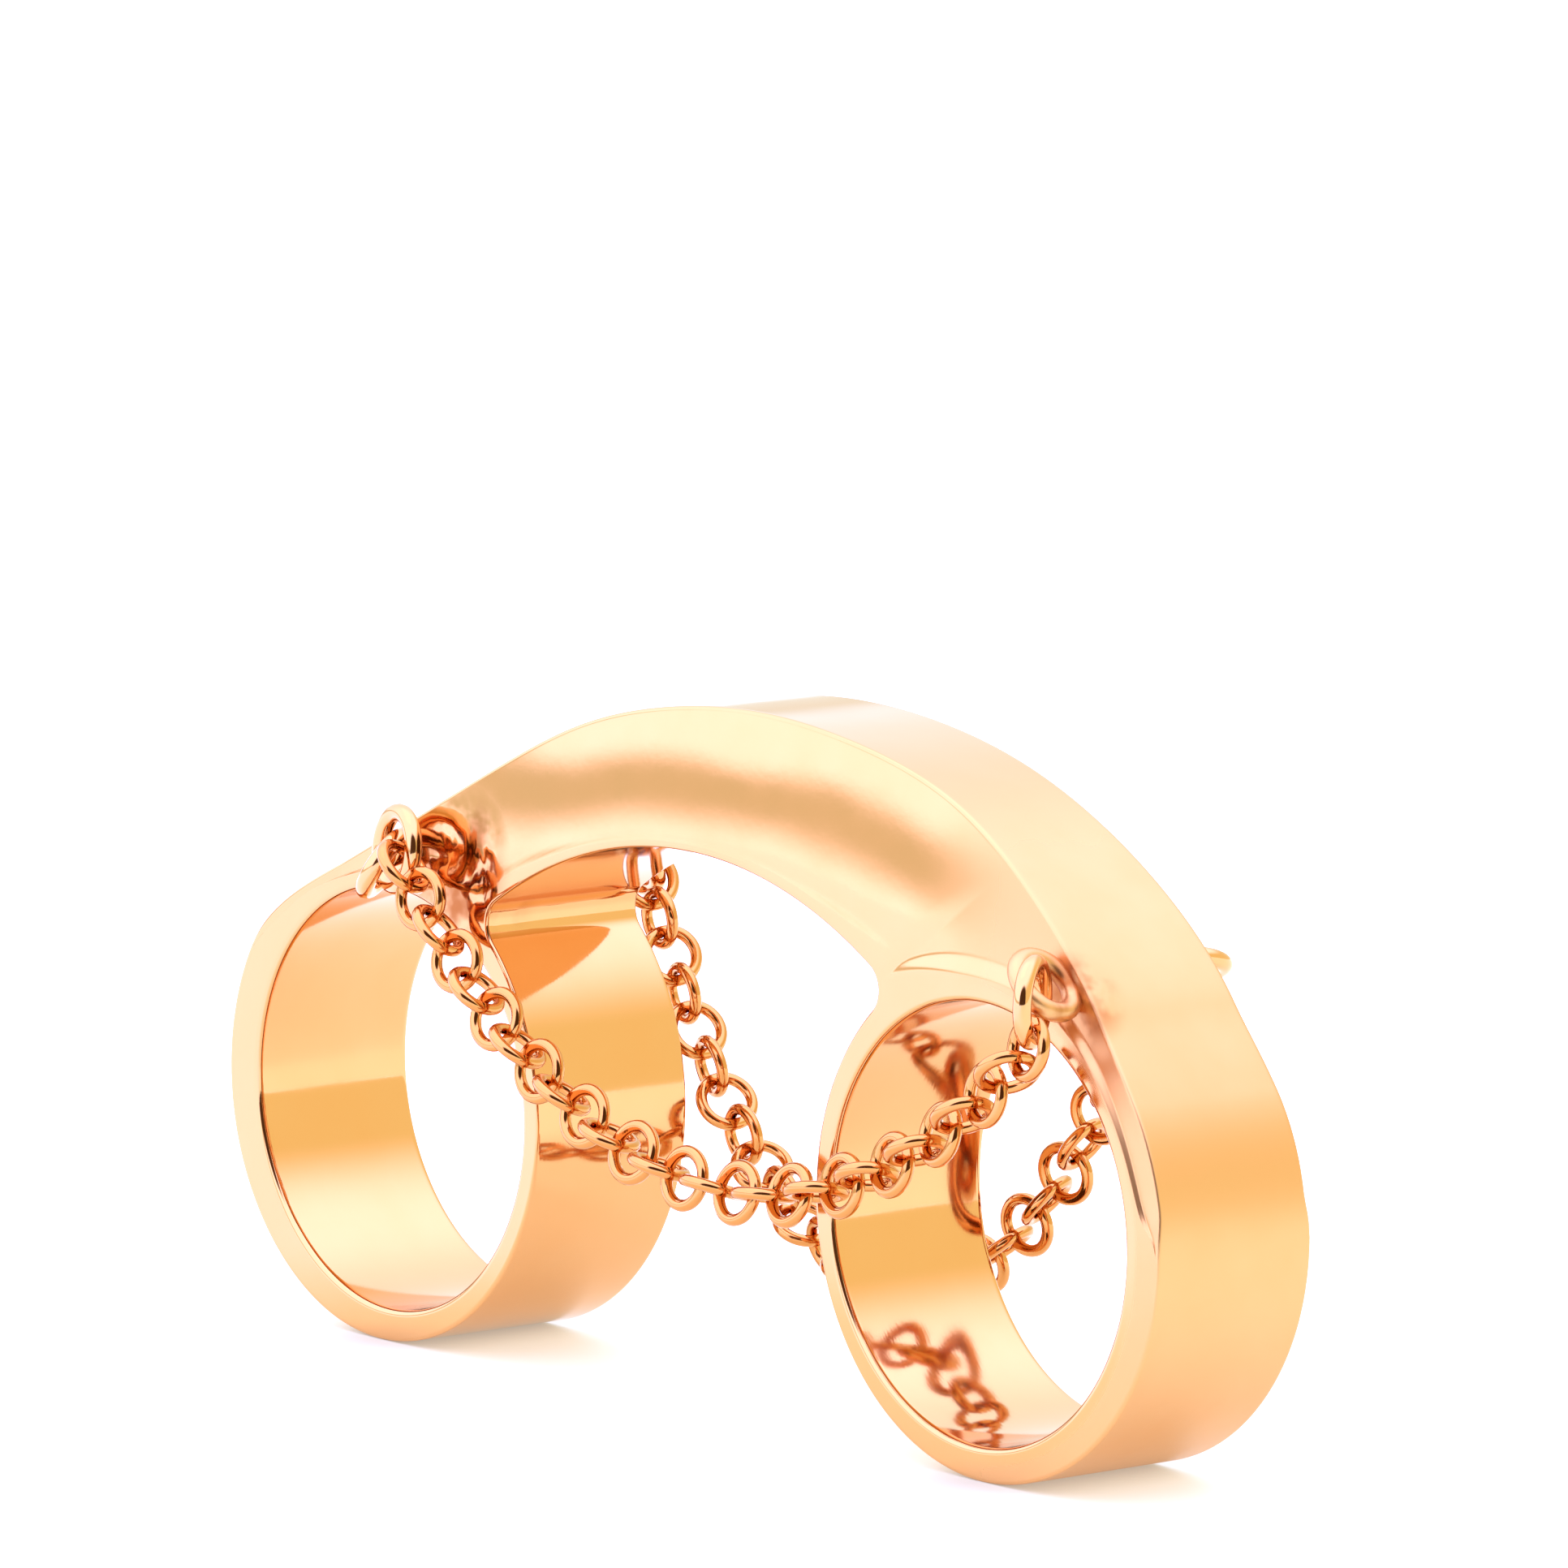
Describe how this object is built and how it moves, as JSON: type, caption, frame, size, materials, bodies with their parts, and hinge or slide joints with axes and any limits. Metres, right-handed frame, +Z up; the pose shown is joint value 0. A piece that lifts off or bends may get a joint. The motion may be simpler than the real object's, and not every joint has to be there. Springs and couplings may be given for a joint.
{
  "type": "two finger ring with chains",
  "caption": "Ring for two neighbouring fingers: two plain bands joined by a raised, bevelled arch, with a fine round-link chain hung across the front and another across the back.",
  "frame": {"origin": "middle of the bounding box on the surface that the two bands stand on", "axes": "+Z up from the bands' lowest lines to the arch, +X from the left band to the right band, finger holes along Y, the front chain on the -Y side"},
  "size_m": [0.0583, 0.0153, 0.0285],
  "materials": {
    "ring_metal": "polished gold-coloured metal",
    "jump_ring_metal": "polished gold-coloured metal",
    "chain_metal": "polished, slightly redder gold-coloured metal"
  },
  "bodies": {
    "root": {"body": "ring_metal", "jump_ring_front_left": "jump_ring_metal", "jump_ring_front_right": "jump_ring_metal", "jump_ring_back_left": "jump_ring_metal", "jump_ring_back_right": "jump_ring_metal", "chain_front": "chain_metal", "chain_back": "chain_metal"}
  },
  "joints": []
}
